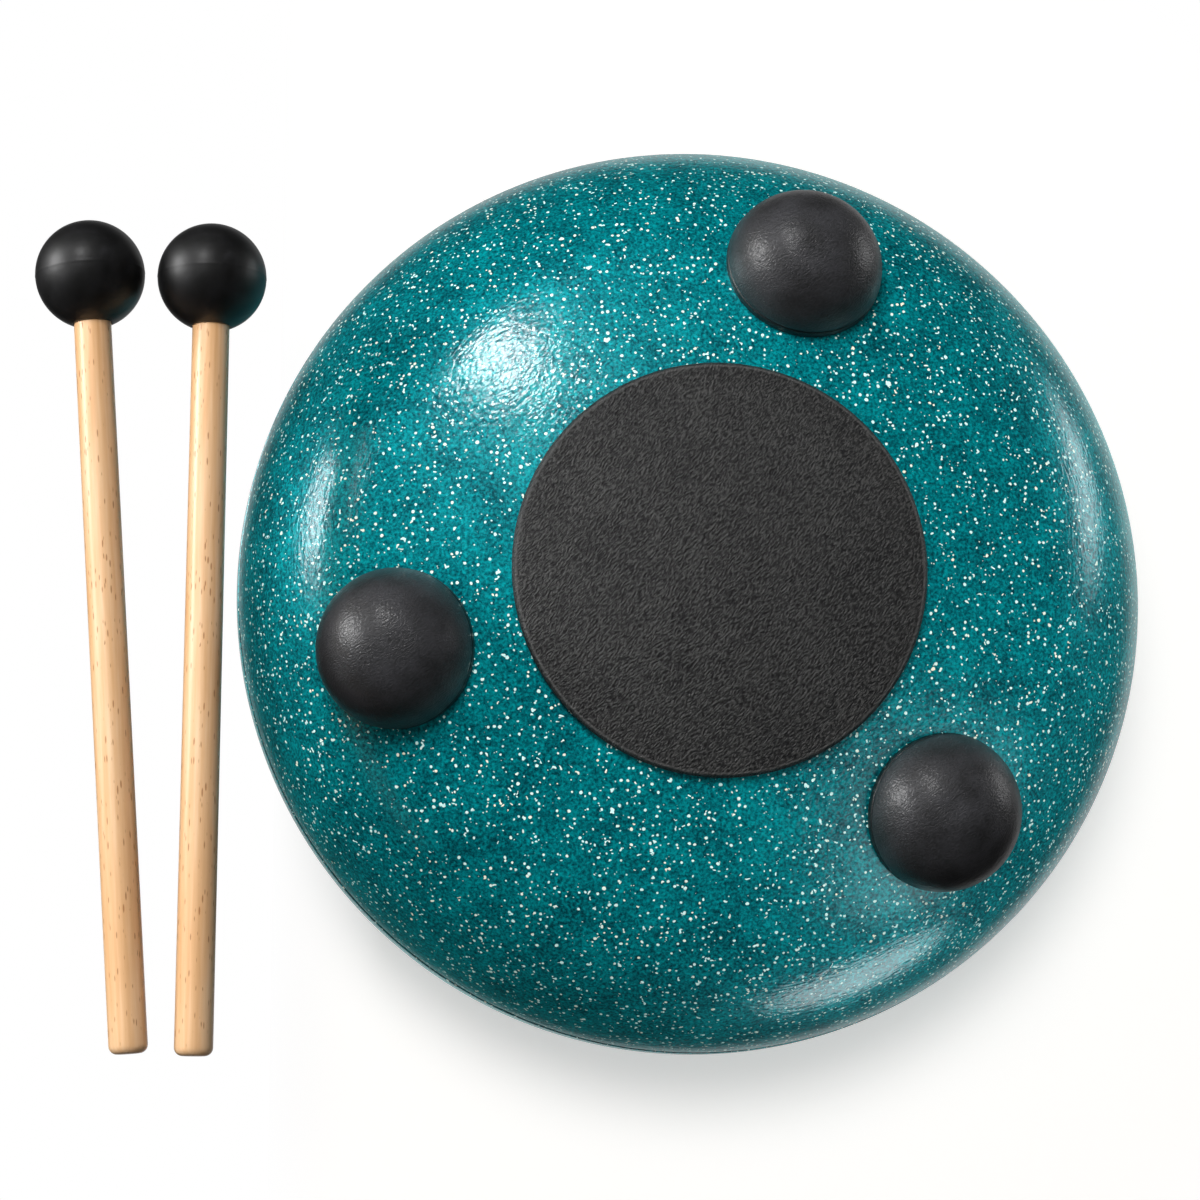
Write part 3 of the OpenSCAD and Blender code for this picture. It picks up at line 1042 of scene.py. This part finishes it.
def feathered(data, edge):
    """Lets a lamp's light fall off to nothing at its edges, from that share of its half size."""
    data.use_nodes = True
    tree = data.node_tree
    nodes, links = tree.nodes, tree.links
    face = nodes.new("ShaderNodeNewGeometry").outputs["Parametric"]
    centred = nodes.new("ShaderNodeVectorMath")
    centred.operation = "SUBTRACT"
    links.new(face, centred.inputs[0])
    centred.inputs[1].default_value = (0.5, 0.5, 0)
    away = nodes.new("ShaderNodeVectorMath")
    away.operation = "LENGTH"
    links.new(centred.outputs[0], away.inputs[0])
    fall = nodes.new("ShaderNodeMapRange")
    fall.interpolation_type = "SMOOTHERSTEP"
    links.new(away.outputs["Value"], fall.inputs["Value"])
    fall.inputs["From Min"].default_value = 0.5
    fall.inputs["From Max"].default_value = 0.5 * edge
    links.new(fall.outputs[0], nodes["Emission"].inputs["Strength"])


def softbox(
    name, azimuth, elevation, width, height, radiance, lights, edge=0.1, roll=0, shiny=True
):
    """Area lamp that looks at the drum, turned by its roll in degrees; it lights some pieces only.

    Its radiance is that of the middle of its face. One that is not shiny shows in no reflection.
    """
    data = bpy.data.lights.new(name, "AREA")
    data.shape = "RECTANGLE"
    data.size = width
    data.size_y = height
    data.energy = radiance * math.pi * width * height
    feathered(data, edge)
    lamp = bpy.data.objects.new(name, data)
    direction = around(azimuth, elevation)
    aim = direction.to_track_quat("Z", "Y").to_matrix().to_4x4()
    spin = Matrix.Rotation(math.radians(roll), 4, "Z")
    lamp.matrix_world = Matrix.Translation(DRUM + direction * LAMP_DISTANCE) @ aim @ spin
    lamp.visible_camera = False
    lamp.visible_glossy = shiny
    lamp.light_linking.receiver_collection = lights
    bpy.context.scene.collection.objects.link(lamp)


def camera():
    """The photo's camera, turned a little towards the mallets from the direction of the drum."""
    back = around(CAMERA_AZIMUTH, CAMERA_ELEVATION)
    right = Vector((0, 1, 0)).cross(back).normalized()
    up = back.cross(right)
    pan = math.atan(DRUM_OFF_MIDDLE / FOCAL)
    turned_right = right * math.cos(pan) - back * math.sin(pan)
    turned_back = back * math.cos(pan) + right * math.sin(pan)
    facing = Matrix((turned_right, up, turned_back)).transposed().to_4x4()
    data = bpy.data.cameras.new("camera")
    data.lens = data.sensor_width * FOCAL / PHOTO_W
    eye = bpy.data.objects.new("camera", data)
    eye.matrix_world = Matrix.Translation(DRUM + back * CAMERA_DISTANCE) @ facing
    bpy.context.scene.collection.objects.link(eye)
    bpy.context.scene.camera = eye


def studio_lamps(shells, mallets, floor, paper):
    """Lamps by azimuth and elevation in degrees, width and height in metres, and radiance."""
    all_but_paper = receivers("all_but_paper", [paper], "EXCLUDE")
    object_only = receivers("object_only", [paper, floor], "EXCLUDE")
    shells_only = receivers("shells_only", shells)
    paper_only = receivers("paper_only", [paper])
    mallets_only = receivers("mallets_only", mallets)
    drum_only = receivers("drum_only", [paper, *mallets], "EXCLUDE")
    softbox("key", 60, -48, 0.3, 0.3, 36, all_but_paper)
    softbox("side", 19, -14, 0.8, 0.75, 15, all_but_paper)
    softbox("strip", 161, 3, 0.45, 1.1, 4.5, object_only, roll=45)
    softbox("panel", -120, 11, 0.75, 0.6, 3.8, shells_only, edge=0.5)
    softbox("low_panel", -141, -34, 0.95, 1.6, 1.5, shells_only, edge=0.3, roll=-12)
    softbox("rim_wash", -160, -5, 0.8, 0.8, 4.5, shells_only, shiny=False)
    softbox("wash", 65, -60, 0.9, 0.9, 17, drum_only, shiny=False)
    softbox("mallet_wash", 25, -52, 0.9, 0.9, 15, mallets_only, shiny=False)
    softbox("front", 55, -76.5, 0.73, 0.73, 19, paper_only, shiny=False)
    softbox("roof", -46, 86, 0.8, 0.8, 7, all_but_paper, shiny=False)


# The drum, the mallets and the studio

coat = enamel()
shells = [top_shell(coat), bottom_shell(coat)]
seam_weld(weld())
base_pad(leather())
coat_node("pad_adhesive", adhesive())
rubber = foot_rubber()
plating = zinc()
for i in range(FEET):
    foot(i, rubber)
    for fastener in ("stud", "washer", "nut"):
        coat_node(f"foot_{fastener}_{i + 1}", plating)

wood = beech()
ball = head_rubber()
mallets = []
for i in range(len(MALLET_TURNS)):
    mallets += [mallet_stick(i, wood), mallet_head(i, ball)]

camera()
studio_world()
studio_lamps(shells, mallets, studio_floor(), backing_sheet())

scene = bpy.context.scene
scene.view_settings.view_transform = "Standard"
